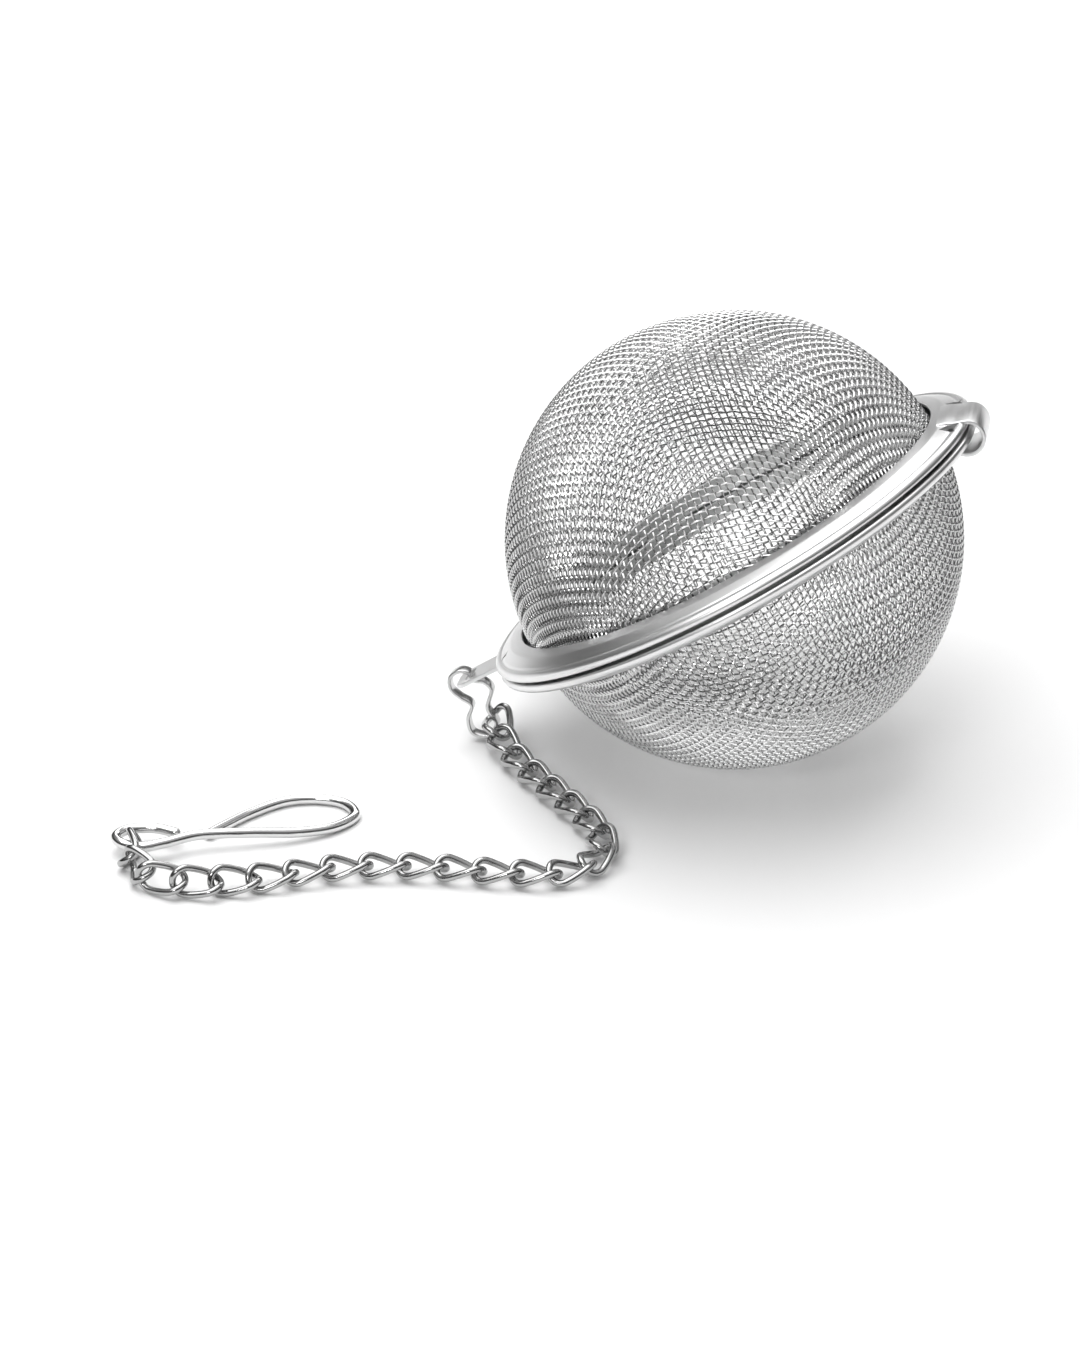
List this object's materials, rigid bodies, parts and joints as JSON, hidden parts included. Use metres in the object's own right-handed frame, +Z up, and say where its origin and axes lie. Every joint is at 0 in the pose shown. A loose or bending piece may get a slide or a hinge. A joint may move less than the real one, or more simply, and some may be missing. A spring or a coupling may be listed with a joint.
{
  "type": "mesh ball tea infuser",
  "caption": "Round tea infuser of two hinged woven-wire bowls in flanged steel rims, with a tongue, a strap link, a curb chain and a wire hook",
  "frame": {"origin": "middle of the whole object's footprint, on the surface that it stands on", "axes": "+X from the hook and chain towards the ball and its hinge, +Y to the back, +Z up; the ball is closed and stands tilted, with its chain laid out in front"},
  "size_m": [0.094, 0.0648, 0.05],
  "materials": {
    "rim_steel": "pressed stainless steel sheet, softly polished",
    "wire_cloth": "plain-woven stainless wire cloth, bright",
    "chain_wire": "polished steel curb chain",
    "hook_wire": "polished steel spring wire"
  },
  "bodies": {
    "lower_half": {"lower_rim": "rim_steel", "lower_mesh": "wire_cloth"},
    "upper_half": {"upper_rim": "rim_steel", "upper_mesh": "wire_cloth"},
    "strap": {"strap_link": "rim_steel"},
    "link_01": {"chain_link_01": "chain_wire"},
    "link_02": {"chain_link_02": "chain_wire"},
    "link_03": {"chain_link_03": "chain_wire"},
    "link_04": {"chain_link_04": "chain_wire"},
    "link_05": {"chain_link_05": "chain_wire"},
    "link_06": {"chain_link_06": "chain_wire"},
    "link_07": {"chain_link_07": "chain_wire"},
    "link_08": {"chain_link_08": "chain_wire"},
    "link_09": {"chain_link_09": "chain_wire"},
    "link_10": {"chain_link_10": "chain_wire"},
    "link_11": {"chain_link_11": "chain_wire"},
    "link_12": {"chain_link_12": "chain_wire"},
    "link_13": {"chain_link_13": "chain_wire"},
    "link_14": {"chain_link_14": "chain_wire"},
    "link_15": {"chain_link_15": "chain_wire"},
    "link_16": {"chain_link_16": "chain_wire"},
    "link_17": {"chain_link_17": "chain_wire"},
    "link_18": {"chain_link_18": "chain_wire"},
    "link_19": {"chain_link_19": "chain_wire"},
    "link_20": {"chain_link_20": "chain_wire"},
    "link_21": {"chain_link_21": "chain_wire"},
    "link_22": {"chain_link_22": "chain_wire"},
    "link_23": {"chain_link_23": "chain_wire"},
    "hook": {"hook": "hook_wire"}
  },
  "joints": [
    {"name": "lid_hinge", "type": "hinge", "parent": "lower_half", "child": "upper_half", "pos_m": [0.04452, 0.00171, 0.03899], "axis": [0.148, 0.9796, -0.1358], "range_deg": [0, 150]},
    {"name": "strap_swing", "type": "hinge", "parent": "lower_half", "child": "strap", "pos_m": [-0.00991, 0.00548, 0.0069], "axis": [0.148, 0.9796, -0.1358], "range_deg": [-10, 30]},
    {"name": "link_01_swing", "type": "hinge", "parent": "strap", "child": "link_01", "pos_m": [-0.00626, 0.00431, 0.00242], "axis": [0, 0, 1], "range_deg": [-30, 30]},
    {"name": "link_02_tilt", "type": "hinge", "parent": "link_01", "child": "link_02", "pos_m": [-0.00613, 0.00189, 0.00212], "axis": [0.928, 0.3725, 0], "range_deg": [-30, 30]},
    {"name": "link_03_swing", "type": "hinge", "parent": "link_02", "child": "link_03", "pos_m": [-0.00465, -0.00179, 0.00159], "axis": [0, 0, -1], "range_deg": [-30, 30]},
    {"name": "link_04_tilt", "type": "hinge", "parent": "link_03", "child": "link_04", "pos_m": [-0.00278, -0.00533, 0.00145], "axis": [-0.8685, -0.4957, 0], "range_deg": [-30, 30]},
    {"name": "link_05_swing", "type": "hinge", "parent": "link_04", "child": "link_05", "pos_m": [-0.00079, -0.00881, 0.00144], "axis": [0, 0, 1], "range_deg": [-30, 30]},
    {"name": "link_06_tilt", "type": "hinge", "parent": "link_05", "child": "link_06", "pos_m": [0.00122, -0.01229, 0.00143], "axis": [0.8697, 0.4936, 0], "range_deg": [-30, 30]},
    {"name": "link_07_swing", "type": "hinge", "parent": "link_06", "child": "link_07", "pos_m": [0.00319, -0.01577, 0.00144], "axis": [0, 0, -1], "range_deg": [-30, 30]},
    {"name": "link_08_tilt", "type": "hinge", "parent": "link_07", "child": "link_08", "pos_m": [0.0049, -0.01938, 0.00144], "axis": [-0.9929, -0.1189, 0], "range_deg": [-30, 30]},
    {"name": "link_09_swing", "type": "hinge", "parent": "link_08", "child": "link_09", "pos_m": [0.0054, -0.0233, 0.00144], "axis": [0, 0, 1], "range_deg": [-30, 30]},
    {"name": "link_10_tilt", "type": "hinge", "parent": "link_09", "child": "link_10", "pos_m": [0.00365, -0.02682, 0.00144], "axis": [0.4445, -0.8958, 0], "range_deg": [-30, 30]},
    {"name": "link_11_swing", "type": "hinge", "parent": "link_10", "child": "link_11", "pos_m": [0.00009, -0.02859, 0.00144], "axis": [0, 0, -1], "range_deg": [-30, 30]},
    {"name": "link_12_tilt", "type": "hinge", "parent": "link_11", "child": "link_12", "pos_m": [-0.00391, -0.02837, 0.00144], "axis": [0.1288, 0.9917, 0], "range_deg": [-30, 30]},
    {"name": "link_13_swing", "type": "hinge", "parent": "link_12", "child": "link_13", "pos_m": [-0.00789, -0.02785, 0.00144], "axis": [0, 0, 1], "range_deg": [-30, 30]},
    {"name": "link_14_tilt", "type": "hinge", "parent": "link_13", "child": "link_14", "pos_m": [-0.01184, -0.02716, 0.00144], "axis": [-0.0894, -0.996, 0], "range_deg": [-30, 30]},
    {"name": "link_15_swing", "type": "hinge", "parent": "link_14", "child": "link_15", "pos_m": [-0.01583, -0.0268, 0.00144], "axis": [0, 0, -1], "range_deg": [-30, 30]},
    {"name": "link_16_tilt", "type": "hinge", "parent": "link_15", "child": "link_16", "pos_m": [-0.01984, -0.02683, 0.00144], "axis": [-0.1286, 0.9917, 0], "range_deg": [-30, 30]},
    {"name": "link_17_swing", "type": "hinge", "parent": "link_16", "child": "link_17", "pos_m": [-0.02381, -0.02735, 0.00144], "axis": [0, 0, 1], "range_deg": [-30, 30]},
    {"name": "link_18_tilt", "type": "hinge", "parent": "link_17", "child": "link_18", "pos_m": [-0.02766, -0.02846, 0.00144], "axis": [0.331, -0.9436, 0], "range_deg": [-30, 30]},
    {"name": "link_19_swing", "type": "hinge", "parent": "link_18", "child": "link_19", "pos_m": [-0.03144, -0.02979, 0.00142], "axis": [0, 0, -1], "range_deg": [-30, 30]},
    {"name": "link_20_tilt", "type": "hinge", "parent": "link_19", "child": "link_20", "pos_m": [-0.03531, -0.03074, 0.0015], "axis": [0.0187, 0.9998, 0], "range_deg": [-30, 30]},
    {"name": "link_21_swing", "type": "hinge", "parent": "link_20", "child": "link_21", "pos_m": [-0.03929, -0.03067, 0.00171], "axis": [0, 0, 1], "range_deg": [-20, 20]},
    {"name": "link_22_tilt", "type": "hinge", "parent": "link_21", "child": "link_22", "pos_m": [-0.04293, -0.02909, 0.00183], "axis": [-0.8679, -0.4967, 0], "range_deg": [-20, 20]},
    {"name": "link_23_swing", "type": "hinge", "parent": "link_22", "child": "link_23", "pos_m": [-0.04491, -0.02568, 0.00184], "axis": [0, 0, -1], "range_deg": [-20, 20]},
    {"name": "hook_swing", "type": "hinge", "parent": "link_23", "child": "hook", "pos_m": [-0.04435, -0.02233, 0.00184], "axis": [0, 0, 1], "range_deg": [-20, 20]}
  ]
}
